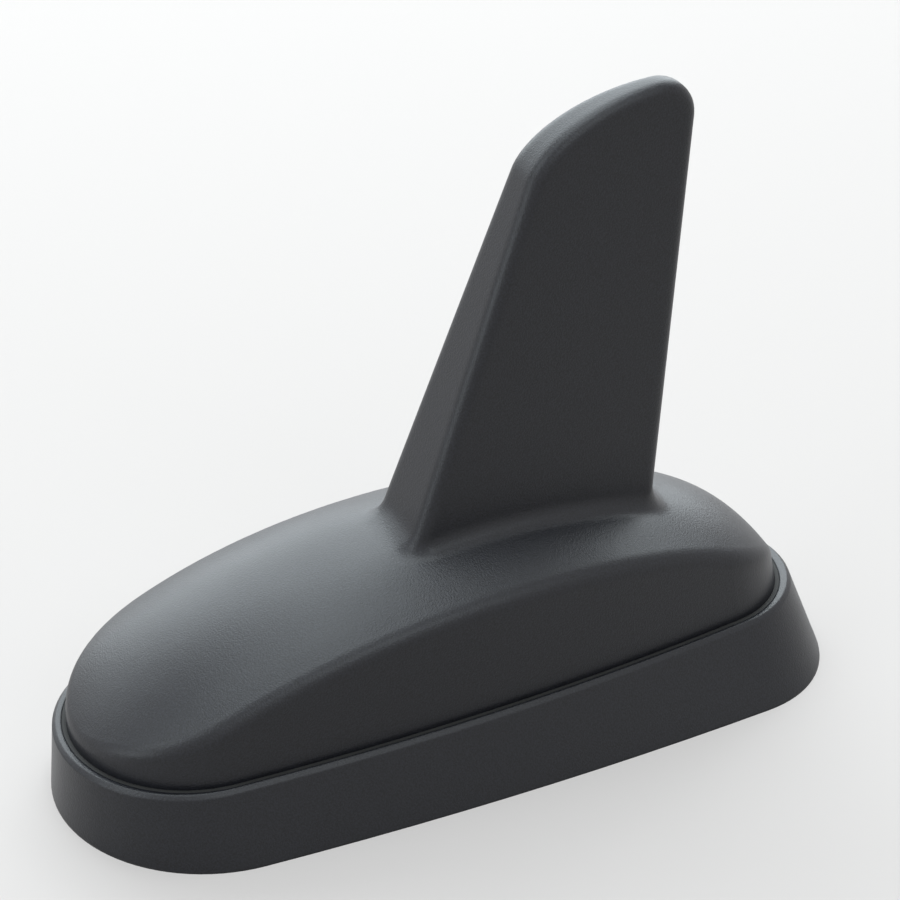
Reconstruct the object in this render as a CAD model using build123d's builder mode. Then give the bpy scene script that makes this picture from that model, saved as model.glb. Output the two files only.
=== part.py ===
from build123d import *
import os
from math import atan2, cos, radians, sin, sqrt, tan

# Shark fin roof aerial: a domed cover with a swept fin, in a flared foot, with its works inside.
# Nose towards -Y, roof surface at Z = 0, all sizes in millimetres.

# Rim: the upper edge of the foot, an egg of four arcs on a plane that rises towards the tail
rim_length = 100.0
rim_nose_radius = 17.1
rim_tail_radius = 13.2
rim_side_radius = 374.0
rim_height_nose = 9.9
rim_height_tail = 11.0
rim_bevel = 0.5

# Foot: how far the skirt spreads from the rim down to the roof
nose_flare = 0.6
tail_flare = 3.9
side_flare = 3.0
tail_corner_flare = 4.8
tail_blunting = 1.5
foot_side_radius = 528.0

# Ledge of the foot that shows round the cover, and the shadow gap between them
nose_ledge = 1.8
side_ledge = 1.3
tail_ledge = 2.2
shadow_gap = 0.6
seat_depth = 0.9
seat_width = 2.6

# Cover: leaning flank, crown, and the crest curve's control points from nose to tail
# Each point is its distance in from the nearer end of the rim, and its height above that end
side_draft = 1.3
nose_draft = 1.0
tail_draft = 9.9
crown_radius = 30.0
crest_nose = (0.45, -1.3)
crest_brow = (0.75, 7.7)
crest_front = (32.95, 28.6)
crest_back = (35.45, 21.3)
crest_rump = (0.85, 15.1)
crest_tail = (1.98, -2.4)
shoulder_radius = 2.5
cover_edge_bevel = 0.6
cover_wall = 2.0

# Fin: leading line, top curve, tip and trailing line seen from the side, and widths across it
fin_root_z = 35.0
fin_root_lead_y = -4.8
fin_root_trail_y = 28.2
fin_bend_drop = 9.2
fin_bend_lead_y = 9.5
fin_bend_trail_y = 31.9
fin_bend_reach = 4.4
fin_top_y = 26.9
fin_top_z = 83.5
fin_top_reach = 9.0
fin_top_slope = 0.08
fin_tip_radius = 4.8
fin_root_lead_width = 11.0
fin_root_trail_width = 6.8
fin_tip_width = 3.04
fin_tip_land = 0.24
fin_blend_radius = 5.0
fin_wall = 2.0
fin_lead_wall = 3.0
fin_pocket_top_width = 6.8

# Base plate, its seal against the roof and the seal under the cover
plate_bottom = 0.8
plate_thickness = 4.0
plate_inset = 0.5
plate_clearance = 0.1
roof_seal_inset = 1.2
roof_seal_width = 2.0
roof_seal_groove = 1.6
cover_seal_inset = 1.0
cover_seal_width = 0.9
cover_seal_height = 1.0
seal_clearance = 0.05

# Fixing bolt insert, M6
bolt_y = -1.2
bolt_core_radius = 2.5
bolt_thread_length = 6.0
insert_radius = 4.5
insert_flange_radius = 6.0
insert_flange_height = 0.8
insert_top_wall = 0.6
insert_boss_wall = 2.4
insert_boss_cap = 0.8

# Screws that hold the cover to the base plate
nose_screw_x = 6.0
nose_screw_setback = 11.45
tail_screw_x = 4.5
tail_screw_setback = 11.55
cover_screw_radius = 1.2
cover_screw_bite = 7.0
cover_screw_head_radius = 2.3
cover_screw_head_height = 1.6
cover_screw_recess = 0.4
cover_boss_radius = 2.6
screw_clearance = 0.2
fit_clearance = 0.02

# Circuit board on four pillars
board_gap = 4.2
board_thickness = 1.2
board_nose_setback = 17.85
board_tail_setback = 17.55
board_wall_clearance = 0.4
front_pillar_x = 9.0
front_pillar_setback = 2.5
back_pillar_x = 6.5
back_pillar_setback = 3.5
pillar_radius = 2.2
board_screw_radius = 0.9
board_screw_bite = 3.4
board_screw_head_radius = 1.8
board_screw_head_height = 1.2

# Satellite patch and amplifier can on the board
patch_side = 18.0
patch_height = 4.0
patch_setback = 6.6
electrode_side = 14.0
electrode_thickness = 0.3
feed_offset = 2.0
feed_radius = 0.5
feed_head_radius = 1.0
feed_head_height = 0.4
can_x = 6.6
can_gap = 5.0
can_width = 8.0
can_length = 18.0
can_height = 3.0
can_sheet = 0.3

# Radio radiator board, upright in the fin, with its copper meander
radiator_thickness = 1.0
radiator_clearance = 0.5
radiator_toe_setback = 6.6
radiator_heel_setback = 6.4
radiator_tab_shift = 1.0
radiator_tab_length = 5.0
radiator_tab_clearance = 0.1
trace_width = 1.2
trace_thickness = 0.2
trace_pitch = 4.0
trace_margin = 1.4

# Twin lead socket
socket_to_bolt = 14.0
socket_spacing = 10.0
socket_shell_radius = 3.6
socket_shell_wall = 0.4
socket_wall = 1.2
socket_depth = 7.0
socket_insulator_height = 1.4
socket_contact_radius = 0.9
socket_contact_bore_radius = 0.5
socket_contact_bore_depth = 3.0
socket_clearance = 0.1

# Heights and places that follow from the sizes above
plate_top = plate_bottom + plate_thickness
board_bottom = plate_top + board_gap
board_top = board_bottom + board_thickness
foot_length = rim_length + nose_flare + tail_flare
rim_radii = (rim_nose_radius, rim_tail_radius, rim_side_radius)
rim_centre_y = (nose_flare - tail_flare) / 2
rim_nose_y = rim_centre_y - rim_length / 2
rim_tail_y = rim_centre_y + rim_length / 2
rim_tilt = atan2(rim_height_tail - rim_height_nose, rim_length)
rim_centre = (0, rim_centre_y, (rim_height_nose + rim_height_tail) / 2)
rim_plane = Plane(rim_centre, x_dir=(1, 0, 0), z_dir=(0, -sin(rim_tilt), cos(rim_tilt)))
seat_plane = rim_plane.offset(-seat_depth)
level_plane = Plane((0, rim_centre_y, 0))
cover_height = rim_height_nose + crest_front[1]
fin_bend_z = fin_top_z - fin_bend_drop
fin_rounding = (fin_tip_width - fin_tip_land) / 2
nose_screw_y = rim_nose_y + nose_screw_setback
tail_screw_y = rim_tail_y - tail_screw_setback
board_nose_y = rim_nose_y + board_nose_setback
board_tail_y = rim_tail_y - board_tail_setback
front_pillar_y = board_nose_y + front_pillar_setback
back_pillar_y = board_tail_y - back_pillar_setback
patch_y = board_nose_y + patch_setback + patch_side / 2
can_y = patch_y + patch_side / 2 + can_gap + can_length / 2
radiator_toe_y = fin_root_lead_y + radiator_toe_setback
radiator_heel_y = fin_root_trail_y - radiator_heel_setback
radiator_tab_y = (radiator_toe_y + radiator_heel_y) / 2 + radiator_tab_shift
socket_y = bolt_y + socket_to_bolt
socket_x = socket_spacing / 2
sockets = {"radio": -socket_x, "satellite": socket_x}
socket_top = plate_bottom + socket_depth

# A cubic curve's middle rises to this share of the height of its two middle control points
cubic_rise = 0.75


def both_sides(*spots):
    """Each spot and its mirror image across the middle plane."""
    return [(side * x, y) for x, y in spots for side in (-1, 1)]


cover_screw_spots = both_sides((nose_screw_x, nose_screw_y), (tail_screw_x, tail_screw_y))
pillar_spots = both_sides((front_pillar_x, front_pillar_y), (back_pillar_x, back_pillar_y))


def egg(length, nose_radius, tail_radius, side_radius, shift=0.0, blunting=0.0, mode=Mode.ADD):
    """Face bounded by four tangent arcs, nose towards -Y; blunting cuts its tail short by a flatter curve."""
    nose_y = shift - length / 2 + nose_radius
    tail_y = shift + length / 2 - tail_radius
    span = tail_y - nose_y
    nose_reach = side_radius - nose_radius
    tail_reach = side_radius - tail_radius
    along = (span**2 + nose_reach**2 - tail_reach**2) / (2 * span)
    off = sqrt(nose_reach**2 - along**2)
    nose_x = off * nose_radius / nose_reach
    tail_x = off * tail_radius / tail_reach
    nose_join = nose_y - along * nose_radius / nose_reach
    tail_join = tail_y + (span - along) * tail_radius / tail_reach
    with BuildLine() as outline:
        ThreePointArc((-nose_x, nose_join), (0, nose_y - nose_radius), (nose_x, nose_join))
        RadiusArc((nose_x, nose_join), (tail_x, tail_join), -side_radius)
        if blunting:
            pull = (tail_y + tail_radius - blunting - tail_join) / cubic_rise
            pull_x = tail_x - pull * (span - along) / off
            corners = [(pull_x, tail_join + pull), (-pull_x, tail_join + pull)]
            Bezier((tail_x, tail_join), *corners, (-tail_x, tail_join))
        else:
            ThreePointArc((tail_x, tail_join), (0, tail_y + tail_radius), (-tail_x, tail_join))
        RadiusArc((-tail_x, tail_join), (-nose_x, nose_join), -side_radius)
    make_face(outline.edges(), mode=mode)


def rim_egg(inset):
    """Outline of the rim, drawn inwards by the inset."""
    egg(rim_length - 2 * inset, *[radius - inset for radius in rim_radii])


def cover_egg(inset, nose_draw=0.0, tail_draw=0.0, mode=Mode.ADD):
    """Outline of the cover at its seat, drawn inwards by the inset and at its ends by their further draws."""
    nose_gap = nose_ledge + inset + nose_draw
    tail_gap = tail_ledge + inset + tail_draw
    length = rim_length - nose_gap - tail_gap
    shrink = side_ledge + inset
    shift = (nose_gap - tail_gap) / 2
    egg(length, *[radius - shrink for radius in rim_radii], shift, mode=mode)


def cover_ring(inset, width):
    """Band along the cover's outline, from the inset inwards."""
    cover_egg(inset)
    cover_egg(inset + width, mode=Mode.SUBTRACT)


def dome(inset, bevel=0.0):
    """The domed body without the fin: leaning flanks under a crowned top, with a bevelled lower edge."""
    drafts = (nose_draft, side_draft, tail_draft)
    nose_lean, side_lean, tail_lean = [cover_height * tan(radians(draft)) for draft in drafts]
    radius = crown_radius - inset
    depth = 2 * cover_height
    with BuildPart() as body:
        if bevel:
            with BuildSketch(seat_plane):
                cover_egg(inset + bevel)
        with BuildSketch(seat_plane.offset(bevel)):
            cover_egg(inset)
        with BuildSketch(seat_plane.offset(cover_height)):
            cover_egg(inset + side_lean, nose_lean - side_lean, tail_lean - side_lean)
        loft(ruled=True)
        with BuildLine(Plane.YZ):
            nose_top = rim_height_nose - inset
            tail_top = rim_height_tail - inset
            nose_run = [(rim_nose_y + y, nose_top + z) for y, z in (crest_nose, crest_brow, crest_front)]
            tail_run = [(rim_tail_y - y, tail_top + z) for y, z in (crest_back, crest_rump, crest_tail)]
            Bezier(*nose_run, *tail_run)
        start = (0, *nose_run[0])
        with BuildSketch(Plane(start, x_dir=(1, 0, 0), z_dir=(0, -1, 0))):
            with BuildLine():
                ThreePointArc((-radius, -radius), (0, 0), (radius, -radius))
                Polyline((radius, -radius), (radius, -depth), (-radius, -depth), (-radius, -radius))
            make_face()
        sweep(normal=(0, 1, 0), mode=Mode.INTERSECT)
    return body.part


def fin_along(root_y, bend_y, z):
    """Y at this height on a straight line up the fin, given its Y at the root and at the bend."""
    return root_y + (bend_y - root_y) * (z - fin_root_z) / (fin_bend_z - fin_root_z)


def fin_lead_y(z):
    """The fin's leading line."""
    return fin_along(fin_root_lead_y, fin_bend_lead_y, z)


def fin_trail_y(z):
    """The fin's trailing line."""
    return fin_along(fin_root_trail_y, fin_bend_trail_y, z)


# How fast the fin's half width shrinks towards the tail and upwards
fin_chord = fin_root_trail_y - fin_root_lead_y
fin_tail_taper = (fin_root_lead_width - fin_root_trail_width) / 2 / fin_chord
fin_lead_slope = (fin_bend_lead_y - fin_root_lead_y) / (fin_bend_z - fin_root_z)
fin_tip_taper = (fin_root_lead_width - fin_tip_width) / 2
fin_tip_back = fin_trail_y(fin_top_z) - fin_root_lead_y
fin_rise_taper = (fin_tip_taper - fin_tail_taper * fin_tip_back) / (fin_top_z - fin_root_z)


def fin_reach_y(half_width, z):
    """How far back at this height the fin still has this half width."""
    spare = fin_root_lead_width / 2 - half_width - fin_rise_taper * (z - fin_root_z)
    return fin_root_lead_y + spare / fin_tail_taper


def trim_to_fin_sides(inset):
    """Cuts the part being built to the fin's two flat sides, moved inwards by the inset."""
    for side in (-1, 1):
        edge = (side * (fin_root_lead_width / 2 - inset), fin_root_lead_y, fin_root_z)
        split(bisect_by=Plane(edge, z_dir=(side, fin_tail_taper, fin_rise_taper)), keep=Keep.BOTTOM)


def screws(spots, seat_z, away, radius, bite, head_radius, head_height):
    """A group of screws, their heads bearing on seat_z and pointing up (1) or down (-1)."""
    head_plane = Plane((0, 0, seat_z), x_dir=(1, 0, 0), z_dir=(0, 0, away))
    places = [(x, away * y) for x, y in spots]
    with BuildPart() as group:
        with BuildSketch(head_plane):
            with Locations(*places):
                Circle(head_radius)
        extrude(amount=head_height)
        with BuildSketch(head_plane):
            with Locations(*places):
                Circle(radius)
        extrude(amount=-bite)
    return group


def save(builder, name):
    """Names a finished piece and writes it."""
    builder.part.label = name
    export_step(builder.part, f"parts/{name}.step")


os.makedirs("parts", exist_ok=True)

# Foot: flared ring with a ledge, a stepped seat for the cover and a recess for the base plate below
with BuildPart() as base_skirt:
    with BuildSketch():
        egg(foot_length + tail_blunting, rim_nose_radius + side_flare, rim_tail_radius + tail_corner_flare,
            foot_side_radius, tail_blunting / 2, tail_blunting)
    with BuildSketch(rim_plane.offset(-rim_bevel)):
        rim_egg(0)
    with BuildSketch(rim_plane):
        rim_egg(rim_bevel)
    loft(ruled=True)
    with BuildSketch(seat_plane):
        cover_egg(-shadow_gap)
    extrude(amount=2 * seat_depth, mode=Mode.SUBTRACT)
    with BuildSketch(level_plane):
        cover_egg(seat_width)
    extrude(amount=rim_height_tail, mode=Mode.SUBTRACT)
    with BuildSketch(level_plane):
        cover_egg(plate_inset - plate_clearance)
    extrude(amount=plate_top, mode=Mode.SUBTRACT)
    with BuildSketch(seat_plane):
        cover_ring(cover_seal_inset - seal_clearance, cover_seal_width + 2 * seal_clearance)
    extrude(amount=-cover_seal_height, mode=Mode.SUBTRACT)
save(base_skirt, "base_skirt")

# Fin: a blade with flat sides that close towards the tail and the top
fin_foot_z = rim_height_tail + cover_wall
with BuildPart() as blade:
    with BuildSketch(Plane.YZ):
        with BuildLine():
            lead = Line((fin_lead_y(fin_foot_z), fin_foot_z), (fin_bend_lead_y, fin_bend_z))
            top = Vector(fin_top_y, fin_top_z)
            top_pull = top - Vector(1, fin_top_slope) * fin_top_reach
            Bezier(lead @ 1, lead @ 1 + lead % 1 * fin_bend_reach, top_pull, top)
            tip_y = fin_trail_y(fin_top_z)
            tip = top + Vector(1, fin_top_slope) * (tip_y - fin_top_y)
            trail_foot = (fin_trail_y(fin_foot_z), fin_foot_z)
            FilletPolyline(top, tip, trail_foot, radius=fin_tip_radius)
            Line(trail_foot, lead @ 0)
        make_face()
    extrude(amount=fin_root_lead_width, both=True)
    trim_to_fin_sides(0)
    blade_sides = blade.faces().sort_by(Axis.X)
    blade_edges = blade_sides[0].edges() + blade_sides[-1].edges()
    fillet(blade_edges.filter_by_position(Axis.Z, fin_root_z, 2 * fin_top_z), fin_rounding)

# Pocket in the fin for the upright radiator board, up to where it has narrowed to its top width
pocket_half = radiator_thickness / 2 + radiator_clearance
pocket_root_y = fin_reach_y(pocket_half + fin_wall, fin_root_z)
pocket_root_width = pocket_root_y - fin_root_lead_y - fin_lead_wall
pocket_narrowing = fin_rise_taper / fin_tail_taper + fin_lead_slope
pocket_top_z = fin_root_z + (pocket_root_width - fin_pocket_top_width) / pocket_narrowing
pocket_back_y = fin_reach_y(pocket_half + fin_wall, pocket_top_z)
pocket_heel_y = fin_trail_y(fin_foot_z) - fin_lead_wall
with BuildPart() as fin_pocket:
    with BuildSketch(Plane.YZ):
        with BuildLine():
            Polyline((fin_lead_y(fin_foot_z) + fin_lead_wall, fin_foot_z), (pocket_heel_y, fin_foot_z),
                     (pocket_back_y, pocket_top_z), (fin_lead_y(pocket_top_z) + fin_lead_wall, pocket_top_z),
                     close=True)
        make_face()
    extrude(amount=fin_root_lead_width, both=True)
    trim_to_fin_sides(fin_wall)

# The dome's outside, its hollow, and the body within its wall that the screw bosses grow into
dome_outside = dome(0, cover_edge_bevel)
dome_hollow = dome(cover_wall)
dome_within_wall = dome(cover_wall / 2)

# Screw bosses of the cover, from the base plate's top up into the roof of the dome
with BuildPart() as cover_bosses:
    add(dome_within_wall)
    with BuildSketch():
        with Locations(*cover_screw_spots):
            Circle(cover_boss_radius)
    extrude(amount=cover_height, mode=Mode.INTERSECT)
    with BuildSketch(Plane.XY.offset(plate_top)):
        with Locations(*cover_screw_spots):
            Circle(cover_boss_radius)
    extrude(amount=rim_height_tail)

# Cover: dome and fin in one moulding, with a soft shoulder line and a blend at the fin's root
with BuildPart() as fin_cover:
    add(dome_outside)
    fillet(fin_cover.edges().filter_by(GeomType.BSPLINE), shoulder_radius)
    add(blade.part)
    fillet(fin_cover.edges(Select.NEW), fin_blend_radius)
    add(dome_hollow, mode=Mode.SUBTRACT)
    add(fin_pocket.part, mode=Mode.SUBTRACT)
    add(cover_bosses.part)
    with BuildSketch(Plane.XY.offset(plate_top)):
        with Locations(*cover_screw_spots):
            Circle(cover_screw_radius + fit_clearance)
    extrude(amount=cover_screw_bite + screw_clearance, mode=Mode.SUBTRACT)
save(fin_cover, "fin_cover")

# Rubber cord in the seat of the foot, under the cover's edge
with BuildPart() as cover_seal:
    with BuildSketch(seat_plane):
        cover_ring(cover_seal_inset, cover_seal_width)
    extrude(amount=-cover_seal_height)
save(cover_seal, "cover_seal")

# Base plate with pillars, insert boss, socket opening, sunk screw holes and a groove for the roof seal
insert_top = plate_bottom + bolt_thread_length + insert_top_wall
screw_seat_z = plate_bottom + cover_screw_recess + cover_screw_head_height
socket_size_x = socket_spacing + 2 * (socket_shell_radius + socket_wall)
socket_size_y = 2 * (socket_shell_radius + socket_wall)
with BuildPart() as base_plate:
    with BuildSketch(level_plane.offset(plate_bottom)):
        cover_egg(plate_inset)
    extrude(amount=plate_thickness)
    with BuildSketch(Plane.XY.offset(plate_top)):
        with Locations(*pillar_spots):
            Circle(pillar_radius)
    extrude(amount=board_gap)
    with BuildSketch(Plane.XY.offset(plate_top)):
        with Locations((0, bolt_y)):
            Circle(insert_radius + insert_boss_wall)
    extrude(amount=insert_top + insert_boss_cap - plate_top)
    with BuildSketch(Plane.XY.offset(plate_bottom)):
        with Locations((0, bolt_y)):
            Circle(insert_radius + fit_clearance)
    extrude(amount=insert_top - plate_bottom, mode=Mode.SUBTRACT)
    with BuildSketch(Plane.XY.offset(plate_bottom)):
        with Locations((0, bolt_y)):
            Circle(insert_flange_radius + fit_clearance)
    extrude(amount=insert_flange_height, mode=Mode.SUBTRACT)
    with BuildSketch():
        with Locations((0, socket_y)):
            Rectangle(socket_size_x + 2 * socket_clearance, socket_size_y + 2 * socket_clearance)
        with Locations(*cover_screw_spots):
            Circle(cover_screw_radius + screw_clearance)
    extrude(amount=2 * plate_top, mode=Mode.SUBTRACT)
    with BuildSketch():
        with Locations(*cover_screw_spots):
            Circle(cover_screw_head_radius + screw_clearance)
    extrude(amount=screw_seat_z, mode=Mode.SUBTRACT)
    with BuildSketch(Plane.XY.offset(board_bottom)):
        with Locations(*pillar_spots):
            Circle(board_screw_radius + fit_clearance)
    extrude(amount=-board_screw_bite - screw_clearance, mode=Mode.SUBTRACT)
    with BuildSketch(level_plane.offset(plate_bottom)):
        cover_ring(plate_inset + roof_seal_inset - seal_clearance, roof_seal_width + 2 * seal_clearance)
    extrude(amount=roof_seal_groove, mode=Mode.SUBTRACT)
save(base_plate, "base_plate")

# Rubber ring against the roof
with BuildPart() as roof_seal:
    with BuildSketch(level_plane):
        cover_ring(plate_inset + roof_seal_inset, roof_seal_width)
    extrude(amount=plate_bottom + roof_seal_groove)
save(roof_seal, "roof_seal")

# Brass insert, threaded from below and closed above
with BuildPart() as bolt_insert:
    with BuildSketch(Plane.XY.offset(plate_bottom)):
        with Locations((0, bolt_y)):
            Circle(insert_radius)
    extrude(amount=insert_top - plate_bottom)
    with BuildSketch(Plane.XY.offset(plate_bottom)):
        with Locations((0, bolt_y)):
            Circle(insert_flange_radius)
    extrude(amount=insert_flange_height)
    with BuildSketch(Plane.XY.offset(plate_bottom)):
        with Locations((0, bolt_y)):
            Circle(bolt_core_radius)
    extrude(amount=bolt_thread_length, mode=Mode.SUBTRACT)
save(bolt_insert, "bolt_insert")

# Screws
cover_screws = screws(cover_screw_spots, screw_seat_z, -1, cover_screw_radius,
                      plate_top - screw_seat_z + cover_screw_bite, cover_screw_head_radius,
                      cover_screw_head_height)
save(cover_screws, "cover_screws")
board_screws = screws(pillar_spots, board_top, 1, board_screw_radius, board_thickness + board_screw_bite,
                      board_screw_head_radius, board_screw_head_height)
save(board_screws, "board_screws")

# Circuit board, the cover's inner outline cut square at nose and tail
with BuildPart() as main_board:
    board_mid_y = (board_nose_y + board_tail_y) / 2
    with BuildSketch(level_plane.offset(board_bottom)):
        cover_egg(seat_width + board_wall_clearance)
        with Locations((0, board_mid_y - rim_centre_y)):
            Rectangle(rim_length, board_tail_y - board_nose_y, mode=Mode.INTERSECT)
    extrude(amount=board_thickness)
    with BuildSketch(Plane.XY.offset(board_bottom)):
        with Locations(*pillar_spots):
            Circle(board_screw_radius + screw_clearance)
        with Locations(*[(x, socket_y) for x in sockets.values()]):
            Circle(socket_contact_radius + socket_clearance)
        with Locations((0, radiator_tab_y)):
            Rectangle(radiator_thickness + 2 * radiator_tab_clearance,
                      radiator_tab_length + 2 * radiator_tab_clearance)
        with Locations((0, patch_y + feed_offset)):
            Circle(feed_radius + fit_clearance)
    extrude(amount=board_thickness, mode=Mode.SUBTRACT)
save(main_board, "main_board")

# Ceramic patch with its silver plate and feed pin
patch_top = board_top + patch_height
electrode_top = patch_top + electrode_thickness
with BuildPart() as patch_ceramic:
    with BuildSketch(Plane.XY.offset(board_top)):
        with Locations((0, patch_y)):
            Rectangle(patch_side, patch_side)
        with Locations((0, patch_y + feed_offset)):
            Circle(feed_radius + fit_clearance, mode=Mode.SUBTRACT)
    extrude(amount=patch_height)
save(patch_ceramic, "patch_ceramic")

with BuildPart() as patch_electrode:
    with BuildSketch(Plane.XY.offset(patch_top)):
        with Locations((0, patch_y)):
            Rectangle(electrode_side, electrode_side)
        with Locations((0, patch_y + feed_offset)):
            Circle(feed_radius + fit_clearance, mode=Mode.SUBTRACT)
    extrude(amount=electrode_thickness)
save(patch_electrode, "patch_electrode")

with BuildPart() as patch_pin:
    with BuildSketch(Plane.XY.offset(electrode_top)):
        with Locations((0, patch_y + feed_offset)):
            Circle(feed_head_radius)
    extrude(amount=feed_head_height)
    with BuildSketch(Plane.XY.offset(electrode_top)):
        with Locations((0, patch_y + feed_offset)):
            Circle(feed_radius)
    extrude(amount=board_bottom - electrode_top)
save(patch_pin, "patch_pin")

# Amplifier can, folded from thin sheet and open below
with BuildPart() as shield_can:
    with BuildSketch(Plane.XY.offset(board_top)):
        with Locations((can_x, can_y)):
            Rectangle(can_width, can_length)
    extrude(amount=can_height)
    offset(amount=-can_sheet, openings=shield_can.faces().sort_by(Axis.Z)[0])
save(shield_can, "shield_can")


radiator_back_top_y = pocket_back_y - radiator_clearance
radiator_top_z = pocket_top_z - radiator_clearance


def radiator_front_y(z):
    """Front edge of the radiator board: along the fin's leading line, then sloping down to its toe."""
    if z >= fin_root_z:
        return fin_lead_y(z) + fin_lead_wall + radiator_clearance
    share = (z - board_top) / (fin_root_z - board_top)
    return radiator_toe_y + share * (radiator_front_y(fin_root_z) - radiator_toe_y)


def radiator_back_y(z):
    """Back edge of the radiator board, straight from its heel to its top."""
    share = (z - board_top) / (radiator_top_z - board_top)
    return radiator_heel_y + share * (radiator_back_top_y - radiator_heel_y)


# Upright radiator board with a tab through the circuit board
with BuildPart() as radiator_board:
    with BuildSketch(Plane.YZ):
        with BuildLine():
            front = [(radiator_front_y(z), z) for z in (radiator_top_z, fin_root_z, board_top)]
            back = [(radiator_back_y(z), z) for z in (board_top, radiator_top_z)]
            Polyline(*front, *back, close=True)
        make_face()
        with Locations((radiator_tab_y, board_bottom + board_thickness / 2)):
            Rectangle(radiator_tab_length, board_thickness)
    extrude(amount=radiator_thickness / 2, both=True)
save(radiator_board, "radiator_board")

# Copper meander on the radiator board's near face, its rows running from the front edge to the back edge
trace_foot_z = board_top + 2 * trace_margin
trace_rows = int((radiator_top_z - trace_margin - trace_foot_z) / trace_pitch) + 1
trace_levels = [trace_foot_z + row * trace_pitch for row in range(trace_rows)]
turns = []
for row, z in enumerate(trace_levels):
    ends = [(radiator_back_y(z) - trace_margin, z), (radiator_front_y(z) + trace_margin, z)]
    turns += ends if row % 2 == 0 else ends[::-1]
with BuildPart() as radiator_trace:
    with BuildSketch(Plane.YZ.offset(radiator_thickness / 2)):
        with BuildLine() as meander:
            Polyline(*turns)
        trace(meander.edges(), line_width=trace_width)
    extrude(amount=trace_thickness)
save(radiator_trace, "radiator_trace")

# Twin socket: moulded housing under the circuit board, open towards the roof
with BuildPart() as socket_housing:
    with BuildSketch(Plane.XY.offset(plate_bottom)):
        with Locations((0, socket_y)):
            Rectangle(socket_size_x, socket_size_y)
    extrude(amount=board_bottom - plate_bottom)
    with BuildSketch(Plane.XY.offset(plate_bottom)):
        with Locations(*[(x, socket_y) for x in sockets.values()]):
            Circle(socket_shell_radius + fit_clearance)
    extrude(amount=socket_depth, mode=Mode.SUBTRACT)
    with BuildSketch(Plane.XY.offset(plate_bottom)):
        with Locations(*[(x, socket_y) for x in sockets.values()]):
            Circle(socket_contact_radius + fit_clearance)
    extrude(amount=board_bottom, mode=Mode.SUBTRACT)
save(socket_housing, "socket_housing")

# Shell, insulator and contact of each socket
insulator_bottom = socket_top - socket_insulator_height
for name, x in sockets.items():
    with BuildPart() as shell:
        with BuildSketch(Plane.XY.offset(plate_bottom)):
            with Locations((x, socket_y)):
                Circle(socket_shell_radius)
                Circle(socket_shell_radius - socket_shell_wall, mode=Mode.SUBTRACT)
        extrude(amount=insulator_bottom - plate_bottom)
    save(shell, f"{name}_shell")

    with BuildPart() as insulator:
        with BuildSketch(Plane.XY.offset(insulator_bottom)):
            with Locations((x, socket_y)):
                Circle(socket_shell_radius)
                Circle(socket_contact_radius + fit_clearance, mode=Mode.SUBTRACT)
        extrude(amount=socket_insulator_height)
    save(insulator, f"{name}_insulator")

    with BuildPart() as contact:
        with BuildSketch(Plane.XY.offset(insulator_bottom)):
            with Locations((x, socket_y)):
                Circle(socket_contact_radius)
        extrude(amount=board_top - insulator_bottom)
        with BuildSketch(Plane.XY.offset(insulator_bottom)):
            with Locations((x, socket_y)):
                Circle(socket_contact_bore_radius)
        extrude(amount=socket_contact_bore_depth, mode=Mode.SUBTRACT)
    save(contact, f"{name}_contact")
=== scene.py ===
import math

import bpy
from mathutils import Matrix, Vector


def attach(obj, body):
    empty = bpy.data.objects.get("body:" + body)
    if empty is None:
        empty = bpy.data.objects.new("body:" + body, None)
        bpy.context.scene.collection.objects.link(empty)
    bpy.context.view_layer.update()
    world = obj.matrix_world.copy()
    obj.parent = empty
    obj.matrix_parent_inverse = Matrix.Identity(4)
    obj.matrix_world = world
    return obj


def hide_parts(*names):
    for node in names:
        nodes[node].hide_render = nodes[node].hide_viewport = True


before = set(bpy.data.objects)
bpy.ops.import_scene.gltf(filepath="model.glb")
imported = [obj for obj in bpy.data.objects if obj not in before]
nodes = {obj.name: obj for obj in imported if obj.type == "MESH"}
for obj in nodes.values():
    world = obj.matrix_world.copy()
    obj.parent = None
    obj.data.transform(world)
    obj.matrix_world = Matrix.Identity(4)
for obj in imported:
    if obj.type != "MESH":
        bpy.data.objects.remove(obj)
bpy.context.view_layer.update()

MM = 0.001

# The camera stands where the photograph was taken from, in millimetres of the part's frame
CAMERA_PLACE = (293.78, -133.92, 239.47)
CAMERA_AIM = (-15.23, 7.56, 28.51)
CAMERA_LENS = 124.27
CAMERA_SENSOR = 36.0
CAMERA_CLIP = (10.0, 10000.0)

# Points of a copied CAD mesh that are nearer than this are one point, in millimetres
MERGE_DISTANCE = 0.001


def linear(code):
    """An sRGB hex colour as linear red, green, blue and alpha."""
    parts = [int(code[i:i + 2], 16) / 255 for i in (1, 3, 5)]
    return [p / 12.92 if p <= 0.04045 else ((p + 0.055) / 1.055) ** 2.4 for p in parts] + [1.0]


def add_node(tree, kind, settings=None, inputs=None):
    """Adds a node with its settings, and gives each named input a value or links it to an output."""
    node = tree.nodes.new(kind)
    for name, value in (settings or {}).items():
        setattr(node, name, value)
    for name, value in (inputs or {}).items():
        if isinstance(value, bpy.types.NodeSocket):
            tree.links.new(value, node.inputs[name])
        else:
            node.inputs[name].default_value = value
    return node


def new_material(name, colour):
    """A material with an empty node tree, and its plain colour for other views."""
    material = bpy.data.materials.new(name)
    material.use_nodes = True
    material.diffuse_color = linear(colour)
    material.node_tree.nodes.clear()
    return material, material.node_tree


def per_mm(size_mm):
    """Texture scale that makes a pattern's unit this many millimetres."""
    return 1 / (size_mm * MM)


def close_material(tree, shader):
    """Links the finished shader to the material's output."""
    add_node(tree, "ShaderNodeOutputMaterial", inputs={"Surface": shader.outputs[0]})


# The moulding's corners are crisp below the first height and dulled above the second, in millimetres
CRISP_BELOW_Z = 14.0
DULLED_ABOVE_Z = 34.0


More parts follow.
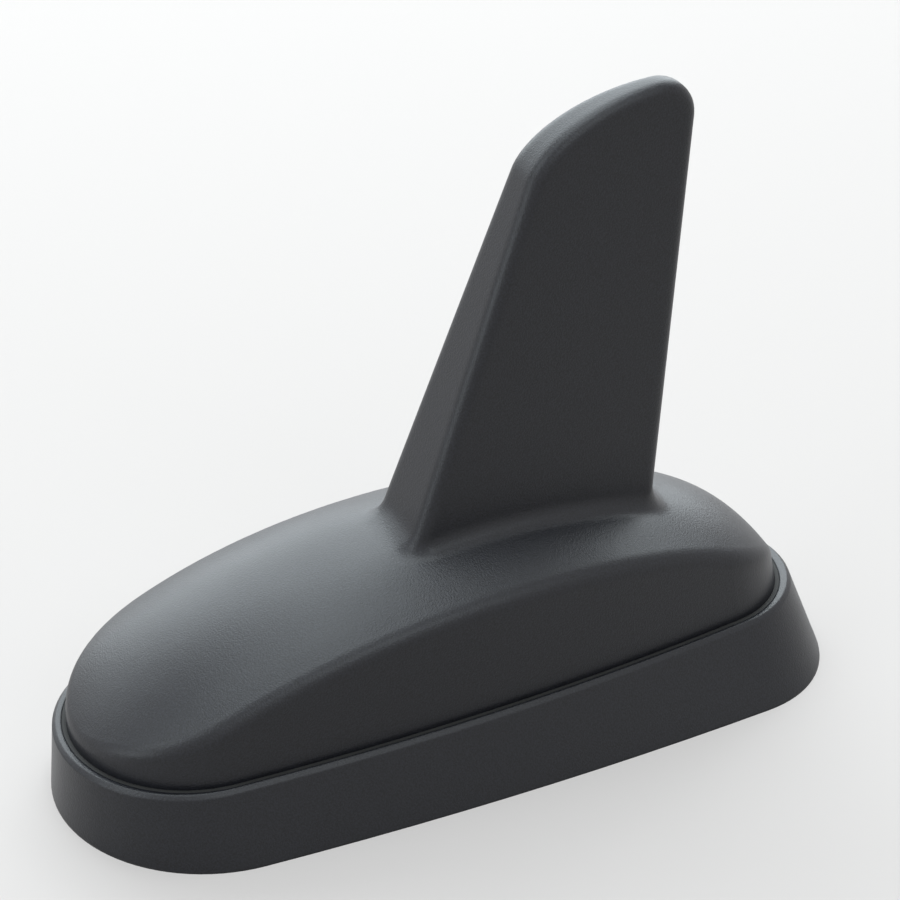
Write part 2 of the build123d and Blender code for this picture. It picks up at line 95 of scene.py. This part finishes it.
def charcoal_moulded_abs(name, low_edge_mm, high_edge_mm):
    """Moulded ABS with a spark-eroded grain: a dark satin that goes pale where it is seen at a low angle."""
    material, tree = new_material(name, "#191a1e")
    place = add_node(tree, "ShaderNodeTexCoord").outputs["Object"]
    # The mould's grain is about 0.1 mm, drawn at 0.22 mm so that it shows
    grain = add_node(tree, "ShaderNodeTexNoise", {"noise_dimensions": "3D"},
                     {"Vector": place, "Scale": per_mm(0.22), "Detail": 1.0, "Roughness": 0.5})
    # The melt's flow leaves patches of slightly different gloss, about 12 mm across
    flow = add_node(tree, "ShaderNodeTexNoise", {"noise_dimensions": "3D"},
                    {"Vector": place, "Scale": per_mm(12.0), "Detail": 3.0, "Roughness": 0.5})
    tone = add_node(tree, "ShaderNodeValToRGB", inputs={"Fac": grain.outputs["Fac"]})
    tone.color_ramp.elements[0].position = 0.3
    tone.color_ramp.elements[0].color = linear("#0b0c10")
    tone.color_ramp.elements[1].position = 0.7
    tone.color_ramp.elements[1].color = linear("#1c1d23")
    gloss = add_node(tree, "ShaderNodeMapRange",
                     inputs={"Value": flow.outputs["Fac"], "From Min": 0.3, "From Max": 0.7,
                             "To Min": 0.35, "To Max": 0.4})
    # The mould's upper corners are dulled by its polishing, so they catch the light over a wider strip
    height = add_node(tree, "ShaderNodeSeparateXYZ", inputs={"Vector": place}).outputs["Z"]
    dulled = add_node(tree, "ShaderNodeMapRange",
                      inputs={"Value": height, "From Min": CRISP_BELOW_Z * MM, "From Max": DULLED_ABOVE_Z * MM,
                              "To Min": low_edge_mm * MM, "To Max": high_edge_mm * MM})
    soft_edge = add_node(tree, "ShaderNodeBevel", {"samples": 8}, {"Radius": dulled.outputs["Result"]})
    bump = add_node(tree, "ShaderNodeBump",
                    inputs={"Height": grain.outputs["Fac"], "Strength": 0.7, "Distance": 0.05 * MM,
                            "Normal": soft_edge.outputs["Normal"]})
    shader = add_node(tree, "ShaderNodeBsdfPrincipled",
                      inputs={"Base Color": tone.outputs["Color"], "Roughness": gloss.outputs["Result"],
                              "Normal": bump.outputs["Normal"], "IOR": 1.52, "Specular IOR Level": 0.36})
    close_material(tree, shader)
    return material


def glass_filled_nylon():
    """Glass-filled nylon, moulded: flat black with faint grey fibre flow."""
    material, tree = new_material("glass_filled_nylon", "#191a1b")
    place = add_node(tree, "ShaderNodeTexCoord").outputs["Object"]
    fibre = add_node(tree, "ShaderNodeTexNoise", {"noise_dimensions": "3D"},
                     {"Vector": place, "Scale": per_mm(0.8), "Detail": 4.0, "Distortion": 1.5})
    tone = add_node(tree, "ShaderNodeValToRGB", inputs={"Fac": fibre.outputs["Fac"]})
    tone.color_ramp.elements[0].position = 0.35
    tone.color_ramp.elements[0].color = linear("#141516")
    tone.color_ramp.elements[1].position = 0.75
    tone.color_ramp.elements[1].color = linear("#222325")
    bump = add_node(tree, "ShaderNodeBump", inputs={"Height": fibre.outputs["Fac"], "Strength": 0.3,
                                                    "Distance": 0.03 * MM})
    shader = add_node(tree, "ShaderNodeBsdfPrincipled",
                      inputs={"Base Color": tone.outputs["Color"], "Roughness": 0.62,
                              "Normal": bump.outputs["Normal"], "IOR": 1.53})
    close_material(tree, shader)
    return material


def moulded_rubber():
    """EPDM rubber: soft black with no clear highlight and a dusty bloom in patches."""
    material, tree = new_material("moulded_epdm_rubber", "#151515")
    place = add_node(tree, "ShaderNodeTexCoord").outputs["Object"]
    bloom = add_node(tree, "ShaderNodeTexNoise", {"noise_dimensions": "3D"},
                     {"Vector": place, "Scale": per_mm(3.0), "Detail": 5.0})
    tone = add_node(tree, "ShaderNodeValToRGB", inputs={"Fac": bloom.outputs["Fac"]})
    tone.color_ramp.elements[0].color = linear("#101010")
    tone.color_ramp.elements[1].color = linear("#262625")
    bump = add_node(tree, "ShaderNodeBump", inputs={"Height": bloom.outputs["Fac"], "Strength": 0.2,
                                                    "Distance": 0.02 * MM})
    shader = add_node(tree, "ShaderNodeBsdfPrincipled",
                      inputs={"Base Color": tone.outputs["Color"], "Roughness": 0.8,
                              "Normal": bump.outputs["Normal"], "IOR": 1.5})
    close_material(tree, shader)
    return material


def turned_metal(name, dark, light, roughness, line_mm):
    """A bright metal with fine tool lines along its height, its tone wandering a little."""
    material, tree = new_material(name, light)
    place = add_node(tree, "ShaderNodeTexCoord").outputs["Object"]
    lines = add_node(tree, "ShaderNodeTexWave", {"wave_type": "BANDS", "bands_direction": "Z"},
                     {"Vector": place, "Scale": per_mm(line_mm) / math.tau * 2, "Distortion": 0.6,
                      "Detail": 2.0})
    cloud = add_node(tree, "ShaderNodeTexNoise", {"noise_dimensions": "3D"},
                     {"Vector": place, "Scale": per_mm(1.5), "Detail": 3.0})
    tone = add_node(tree, "ShaderNodeValToRGB", inputs={"Fac": cloud.outputs["Fac"]})
    tone.color_ramp.elements[0].position = 0.3
    tone.color_ramp.elements[0].color = linear(dark)
    tone.color_ramp.elements[1].position = 0.7
    tone.color_ramp.elements[1].color = linear(light)
    bump = add_node(tree, "ShaderNodeBump", inputs={"Height": lines.outputs["Fac"], "Strength": 0.15,
                                                    "Distance": 0.01 * MM})
    shader = add_node(tree, "ShaderNodeBsdfPrincipled",
                      inputs={"Base Color": tone.outputs["Color"], "Metallic": 1.0, "Roughness": roughness,
                              "Normal": bump.outputs["Normal"]})
    close_material(tree, shader)
    return material


def printed_board_laminate():
    """Woven glass laminate under green solder resist: glossy, with the weave just showing."""
    material, tree = new_material("printed_board_laminate", "#1d5a35")
    place = add_node(tree, "ShaderNodeTexCoord").outputs["Object"]
    weave_a = add_node(tree, "ShaderNodeTexWave", {"wave_type": "BANDS", "bands_direction": "X"},
                       {"Vector": place, "Scale": per_mm(0.5) / math.tau * 2, "Distortion": 0.3})
    weave_b = add_node(tree, "ShaderNodeTexWave", {"wave_type": "BANDS", "bands_direction": "Y"},
                       {"Vector": place, "Scale": per_mm(0.5) / math.tau * 2, "Distortion": 0.3})
    weave = add_node(tree, "ShaderNodeMath", {"operation": "MULTIPLY"})
    tree.links.new(weave_a.outputs["Fac"], weave.inputs[0])
    tree.links.new(weave_b.outputs["Fac"], weave.inputs[1])
    tone = add_node(tree, "ShaderNodeValToRGB", inputs={"Fac": weave.outputs[0]})
    tone.color_ramp.elements[0].color = linear("#17492b")
    tone.color_ramp.elements[1].color = linear("#226b40")
    bump = add_node(tree, "ShaderNodeBump", inputs={"Height": weave.outputs[0], "Strength": 0.1,
                                                    "Distance": 0.02 * MM})
    shader = add_node(tree, "ShaderNodeBsdfPrincipled",
                      inputs={"Base Color": tone.outputs["Color"], "Roughness": 0.35,
                              "Normal": bump.outputs["Normal"], "IOR": 1.55})
    close_material(tree, shader)
    return material


def fine_solid(name, dark, light, roughness, speck_mm, ior):
    """A pale moulded or fired solid: an even tone with fine specks."""
    material, tree = new_material(name, light)
    place = add_node(tree, "ShaderNodeTexCoord").outputs["Object"]
    specks = add_node(tree, "ShaderNodeTexNoise", {"noise_dimensions": "3D"},
                      {"Vector": place, "Scale": per_mm(speck_mm), "Detail": 4.0})
    tone = add_node(tree, "ShaderNodeValToRGB", inputs={"Fac": specks.outputs["Fac"]})
    tone.color_ramp.elements[0].position = 0.3
    tone.color_ramp.elements[0].color = linear(dark)
    tone.color_ramp.elements[1].position = 0.7
    tone.color_ramp.elements[1].color = linear(light)
    bump = add_node(tree, "ShaderNodeBump", inputs={"Height": specks.outputs["Fac"], "Strength": 0.15,
                                                    "Distance": 0.02 * MM})
    shader = add_node(tree, "ShaderNodeBsdfPrincipled",
                      inputs={"Base Color": tone.outputs["Color"], "Roughness": roughness,
                              "Normal": bump.outputs["Normal"], "IOR": ior})
    close_material(tree, shader)
    return material


laminate = printed_board_laminate()
rubber = moulded_rubber()
steel = turned_metal("zinc_plated_steel", "#8f9396", "#c4c8ca", 0.34, 0.4)
contact_brass = turned_metal("plated_contact_brass", "#b08a3e", "#d9b866", 0.26, 0.3)
insulator = fine_solid("ptfe_insulator", "#dcdcd6", "#ecece8", 0.5, 0.6, 1.38)
FINISHES = {
    "fin_cover": charcoal_moulded_abs("charcoal_moulded_abs", 0.1, 1.6),
    "base_skirt": charcoal_moulded_abs("charcoal_skirt_abs", 0.4, 0.4),
    "base_plate": glass_filled_nylon(),
    "roof_seal": rubber,
    "cover_seal": rubber,
    "bolt_insert": turned_metal("turned_brass", "#9a7a3c", "#c9a65c", 0.3, 0.3),
    "cover_screws": steel,
    "board_screws": steel,
    "main_board": laminate,
    "radiator_board": laminate,
    "radiator_trace": turned_metal("etched_copper", "#a0603c", "#c8835a", 0.32, 0.5),
    "shield_can": turned_metal("tinned_steel_sheet", "#9da1a3", "#c9cccd", 0.3, 0.8),
    "patch_ceramic": fine_solid("fired_ceramic", "#b59a7c", "#c9b093", 0.55, 0.4, 1.6),
    "patch_electrode": turned_metal("fired_silver", "#b9b9b4", "#dcdcd8", 0.4, 0.5),
    "patch_pin": turned_metal("solder_coated_brass", "#a3a19a", "#c6c4bd", 0.35, 0.3),
    "socket_housing": fine_solid("moulded_pbt", "#23303f", "#2c3c4e", 0.5, 0.8, 1.55),
    "radio_shell": contact_brass,
    "satellite_shell": contact_brass,
    "radio_contact": contact_brass,
    "satellite_contact": contact_brass,
    "radio_insulator": insulator,
    "satellite_insulator": insulator,
}
for name, material in FINISHES.items():
    nodes[name].data.materials.clear()
    nodes[name].data.materials.append(material)


def merged_copy(name, node):
    """A new piece with a copy of a CAD node's mesh, its loose triangles joined, selected on its own."""
    piece = bpy.data.objects.new(name, nodes[node].data.copy())
    bpy.context.scene.collection.objects.link(piece)
    bpy.ops.object.select_all(action="DESELECT")
    bpy.context.view_layer.objects.active = piece
    piece.select_set(True)
    bpy.ops.object.mode_set(mode="EDIT")
    bpy.ops.mesh.select_all(action="SELECT")
    bpy.ops.mesh.remove_doubles(threshold=MERGE_DISTANCE * MM)
    bpy.ops.object.mode_set(mode="OBJECT")
    return piece


# The foot's rim rises from nose to tail, given as Y and Z of its ends, and the gap inside it has this depth
RIM_NOSE = (-51.65, 9.9)
RIM_TAIL = (48.35, 11.0)
RIM_MIDDLE_Y = -1.65
GAP_DEPTH = 0.9
GAP_MARGIN = 0.05
UPRIGHT = 0.3
# The lip fills the gap's width, and its top lies this far under the rim's edge
LIP_THICKNESS = 0.6
LIP_DROP = 0.06
LIP_EDGE = 0.04
LIP_EDGE_ANGLE = math.radians(50)
LIP_SMOOTH_ANGLE = math.radians(40)


def rim_height(y):
    """The height of the rim's plane at a distance along the part, in metres."""
    share = (y / MM - RIM_NOSE[0]) / (RIM_TAIL[0] - RIM_NOSE[0])
    return (RIM_NOSE[1] + share * (RIM_TAIL[1] - RIM_NOSE[1])) * MM


def is_gap_wall(face):
    """Whether a face of the foot is the upright wall that faces the cover across the gap."""
    x, y, z = face.center
    inward = face.normal.x * x + face.normal.y * (y - RIM_MIDDLE_Y * MM) < 0
    below_rim = rim_height(y) - z
    in_gap = GAP_MARGIN * MM < below_rim < (GAP_DEPTH - GAP_MARGIN) * MM
    return inward and in_gap and abs(face.normal.z) < UPRIGHT


def gap_lip():
    """The seal's lip that closes the gap round the cover: the gap's wall, lowered and given thickness."""
    lip = merged_copy("cover_seal_lip", "base_skirt")
    bpy.ops.object.mode_set(mode="EDIT")
    bpy.ops.mesh.customdata_custom_splitnormals_clear()
    bpy.ops.mesh.select_mode(type="FACE")
    bpy.ops.mesh.select_all(action="DESELECT")
    bpy.ops.object.mode_set(mode="OBJECT")
    for face in lip.data.polygons:
        face.select = not is_gap_wall(face)
    bpy.ops.object.mode_set(mode="EDIT")
    bpy.ops.mesh.delete(type="FACE")
    bpy.ops.mesh.select_mode(type="VERT")
    bpy.ops.mesh.select_all(action="DESELECT")
    bpy.ops.object.mode_set(mode="OBJECT")
    for point in lip.data.vertices:
        point.select = point.co.z > rim_height(point.co.y) - GAP_DEPTH / 2 * MM
    bpy.ops.object.mode_set(mode="EDIT")
    bpy.ops.transform.translate(value=(0.0, 0.0, -LIP_DROP * MM))
    bpy.ops.object.mode_set(mode="OBJECT")
    wall = lip.modifiers.new("thickness", "SOLIDIFY")
    wall.thickness = LIP_THICKNESS * MM
    wall.offset = 1.0
    wall.use_even_offset = True
    bpy.ops.object.modifier_apply(modifier=wall.name)
    edge = lip.modifiers.new("soft edge", "BEVEL")
    edge.width = LIP_EDGE * MM
    edge.segments = 2
    edge.limit_method = "ANGLE"
    edge.angle_limit = LIP_EDGE_ANGLE
    bpy.ops.object.modifier_apply(modifier=edge.name)
    bpy.ops.object.shade_smooth_by_angle(angle=LIP_SMOOTH_ANGLE)
    lip.data.materials.clear()
    lip.data.materials.append(rubber)
    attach(lip, "root")


gap_lip()

# The fin, in millimetres: the heights of its root and of the bend above, the Y of its leading and trailing lines
# at those two, half its width at the root's front, how that closes towards tail and top, and its rounding
FIN_ROOT_Z = 35.0
FIN_BEND_Z = 74.3
FIN_LEAD_Y = (-4.8, 9.5)
FIN_TRAIL_Y = (28.2, 31.9)
FIN_HALF_WIDTH = 5.5
FIN_TAIL_TAPER = 0.06364
FIN_RISE_TAPER = 0.03277
FIN_ROUNDING = 1.4
# The dome's crest, a Bezier curve with these control points as Y and Z, and the crown's radius across it
CREST = ((-51.2, 8.6), (-50.9, 17.6), (-18.7, 38.5), (12.9, 32.3), (47.5, 26.1), (46.37, 8.6))
CREST_STEPS = 400
CROWN_RADIUS = 30.0
# The stretch along Y round the fin, outside which nothing moves
ROOT_ZONE = (-30.0, 45.0)
# The share of the solid's root fillet that is kept along the fin's sides and at its ends, its reach there, and
# where the faces beyond it have taken up the change, along the crown and up the fin
SIDE_ROOT_SHARE = 0.5
END_ROOT_SHARE = 0.85
ROOT_REACH = 4.4
CROWN_FADE = 7.0
FIN_FADE = 12.0
# A point this little inside the fin or the crown still counts as on its surface
SURFACE_SLACK = 0.15
SETTLING_ROUNDS = 8


def crest_point(share):
    """A point of the crest's curve, as Y and Z, at a share of its run."""
    points = [Vector(point) for point in CREST]
    while len(points) > 1:
        points = [a.lerp(b, share) for a, b in zip(points, points[1:])]
    return points[0]


def in_root_zone(y):
    """Whether a place along the part is near enough to the fin for its root to reach it."""
    return ROOT_ZONE[0] < y < ROOT_ZONE[1]


CREST_LINE = [crest_point(step / CREST_STEPS) for step in range(CREST_STEPS + 1)]
CREST_LINE = [point for point in CREST_LINE if in_root_zone(point.x)]


def crown_height(x, y):
    """The height of the dome's crown at a place, in millimetres."""
    after = next((i for i, point in enumerate(CREST_LINE) if point.x >= y), len(CREST_LINE) - 1)
    b, a = CREST_LINE[after], CREST_LINE[max(after - 1, 0)]
    along = (y - a.x) / (b.x - a.x) if b.x > a.x else 0.0
    return a.y + along * (b.y - a.y) - CROWN_RADIUS + math.sqrt(CROWN_RADIUS ** 2 - x * x)


def fin_core(z):
    """The fin's section at a height, less its rounding: its front, its back, and half its width at a Y."""
    rise = (z - FIN_ROOT_Z) / (FIN_BEND_Z - FIN_ROOT_Z)
    front, back = [root + rise * (bend - root) for root, bend in (FIN_LEAD_Y, FIN_TRAIL_Y)]

    def half_width(y):
        taper = FIN_TAIL_TAPER * (y - FIN_LEAD_Y[0]) + FIN_RISE_TAPER * (z - FIN_ROOT_Z)
        return FIN_HALF_WIDTH - taper - FIN_ROUNDING

    return front + FIN_ROUNDING, back - FIN_ROUNDING, half_width


def tightened(distance, root_share, fade):
    """A distance from the fin's root line after the root is tightened to a share of its size."""
    if distance <= 0 or distance >= fade:
        return distance
    if distance <= ROOT_REACH:
        return distance * root_share
    return fade - (fade - distance) * (fade - ROOT_REACH * root_share) / (fade - ROOT_REACH)


def at_tight_root(x, y, z):
    """Where a point of the cover's outside goes when the fin's root is tightened, in millimetres."""
    front, back, half_width = fin_core(z)
    core_y = min(max(y, front), back)
    core_x = min(abs(x), half_width(core_y))
    away = Vector((abs(x) - core_x, y - core_y))
    from_fin = away.length - FIN_ROUNDING
    if not (-SURFACE_SLACK < from_fin < CROWN_FADE and in_root_zone(y)):
        return x, y, z
    from_crown = z - crown_height(x, y)
    if not -SURFACE_SLACK < from_crown < FIN_FADE:
        return x, y, z
    along = (core_y - front) / (back - front)
    across = core_x / half_width(core_y)
    sideways = away.normalized().x ** 2
    root_share = END_ROOT_SHARE + sideways * (SIDE_ROOT_SHARE - END_ROOT_SHARE)
    outward = away.normalized() * (tightened(from_fin, root_share, CROWN_FADE) + FIN_ROUNDING)
    height = tightened(from_crown, root_share, FIN_FADE)
    new_z = z
    for _ in range(SETTLING_ROUNDS):
        front, back, half_width = fin_core(new_z)
        new_y = front + along * (back - front)
        new_x = across * half_width(new_y) + outward.x
        new_y += outward.y
        new_z = crown_height(new_x, new_y) + height
    return math.copysign(new_x, x), new_y, new_z


def tight_rooted_cover():
    """The cover with the tighter crease round the fin's root; its faces keep the solid's exact normals."""
    facing = [corner.vector.copy() for corner in nodes["fin_cover"].data.corner_normals]
    cover = merged_copy("fin_cover_moulding", "fin_cover")
    for point in cover.data.vertices:
        point.co = Vector(at_tight_root(*(point.co / MM))) * MM
    cover.data.normals_split_custom_set(facing)
    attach(cover, "root")
    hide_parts("fin_cover")


tight_rooted_cover()


def area_light(name, place_mm, aim_mm, size_mm, radiance, colour):
    """A soft box: a rectangular lamp of even radiance, facing a point."""
    width, height = [side * MM for side in size_mm]
    lamp = bpy.data.lights.new(name, "AREA")
    lamp.shape = "RECTANGLE"
    lamp.size = width
    lamp.size_y = height
    lamp.energy = radiance * math.pi * width * height
    lamp.color = linear(colour)[:3]
    box = bpy.data.objects.new(name, lamp)
    bpy.context.scene.collection.objects.link(box)
    box.location = Vector(place_mm) * MM
    box.rotation_mode = "QUATERNION"
    box.rotation_quaternion = (Vector(aim_mm) - Vector(place_mm)).to_track_quat("-Z", "Y")


OBJECT_MIDDLE = (0.0, 0.0, 30.0)
LAMP_TINT = "#effaff"
area_light("left_soft_box", (-640.0, 190.0, 310.0), OBJECT_MIDDLE, (1000.0, 600.0), 3.1, LAMP_TINT)
area_light("left_nose_box", (-540.0, -330.0, 340.0), OBJECT_MIDDLE, (420.0, 420.0), 1.7, LAMP_TINT)
area_light("left_top_box", (-480.0, 120.0, 680.0), OBJECT_MIDDLE, (760.0, 340.0), 4.6, LAMP_TINT)
area_light("overhead_box", (-60.0, -70.0, 800.0), OBJECT_MIDDLE, (560.0, 560.0), 3.8, LAMP_TINT)
area_light("tail_box", (-300.0, 520.0, 590.0), OBJECT_MIDDLE, (520.0, 380.0), 3.4, LAMP_TINT)
area_light("nose_top_box", (50.0, -600.0, 540.0), OBJECT_MIDDLE, (400.0, 300.0), 3.2, LAMP_TINT)
area_light("nose_card", (60.0, -700.0, 110.0), OBJECT_MIDDLE, (420.0, 200.0), 3.0, LAMP_TINT)
area_light("right_card", (545.0, 67.0, 512.0), OBJECT_MIDDLE, (420.0, 260.0), 2.8, LAMP_TINT)


def seen_ray(tree):
    """One for a ray from the eye, straight or by way of a mirror or glass, and nought for other light."""
    path = add_node(tree, "ShaderNodeLightPath").outputs
    straight = add_node(tree, "ShaderNodeMath", {"operation": "ADD"},
                        {0: path["Is Camera Ray"], 1: path["Is Glossy Ray"]})
    through = add_node(tree, "ShaderNodeMath", {"operation": "ADD", "use_clamp": True},
                       {0: straight.outputs[0], 1: path["Is Transmission Ray"]})
    return through.outputs[0]


# Pale floor: it takes the object's shadow near by, and goes over to the backdrop's white further out
FLOOR_GLOW = 0.35
SHADOW_REACH_MM = 260.0
BACKDROP_FROM_MM = 620.0
FLOOR_SIZE_MM = 6000.0
bpy.ops.object.select_all(action="DESELECT")
bpy.ops.mesh.primitive_plane_add(size=FLOOR_SIZE_MM * MM, location=(0.0, 0.0, 0.0))
floor = bpy.context.object
floor.name = "floor"
floor_material, tree = new_material("pale_floor", "#f4f4f3")
matt = add_node(tree, "ShaderNodeBsdfDiffuse", inputs={"Color": linear("#b3adaa")})
glow = add_node(tree, "ShaderNodeEmission", inputs={"Color": linear("#ffffff"), "Strength": 1.0})
place = add_node(tree, "ShaderNodeTexCoord").outputs["Object"]
reach = add_node(tree, "ShaderNodeVectorMath", {"operation": "LENGTH"}, {0: place}).outputs["Value"]
glow_here = add_node(tree, "ShaderNodeMapRange", {"interpolation_type": "SMOOTHSTEP"},
                     {"Value": reach, "From Min": SHADOW_REACH_MM * MM, "From Max": BACKDROP_FROM_MM * MM,
                      "To Min": FLOOR_GLOW, "To Max": 1.0}).outputs["Result"]
share = add_node(tree, "ShaderNodeMath", {"operation": "MULTIPLY"}, {0: seen_ray(tree), 1: glow_here})
mixed = add_node(tree, "ShaderNodeMixShader",
                 inputs={0: share.outputs[0], 1: matt.outputs[0], 2: glow.outputs[0]})
close_material(tree, mixed)
floor.data.materials.append(floor_material)

# World: white to the eye, dim as a light
WORLD_LIGHT = 0.3
world = bpy.data.worlds.new("studio")
bpy.context.scene.world = world
world.use_nodes = True
world.node_tree.nodes.clear()
tree = world.node_tree
dim = add_node(tree, "ShaderNodeBackground", inputs={"Color": linear("#ffffff"), "Strength": WORLD_LIGHT})
white = add_node(tree, "ShaderNodeBackground", inputs={"Color": linear("#ffffff"), "Strength": 1.0})
mixed = add_node(tree, "ShaderNodeMixShader",
                 inputs={0: seen_ray(tree), 1: dim.outputs[0], 2: white.outputs[0]})
add_node(tree, "ShaderNodeOutputWorld", inputs={"Surface": mixed.outputs[0]})

camera = bpy.data.objects.new("camera", bpy.data.cameras.new("camera"))
bpy.context.scene.collection.objects.link(camera)
camera.data.lens = CAMERA_LENS
camera.data.sensor_width = CAMERA_SENSOR
camera.data.clip_start, camera.data.clip_end = [reach * MM for reach in CAMERA_CLIP]
camera.location = Vector(CAMERA_PLACE) * MM
camera.rotation_mode = "QUATERNION"
camera.rotation_quaternion = (Vector(CAMERA_AIM) - Vector(CAMERA_PLACE)).to_track_quat("-Z", "Y")
bpy.context.scene.camera = camera
bpy.context.scene.view_settings.view_transform = "Standard"

bpy.context.view_layer.update()
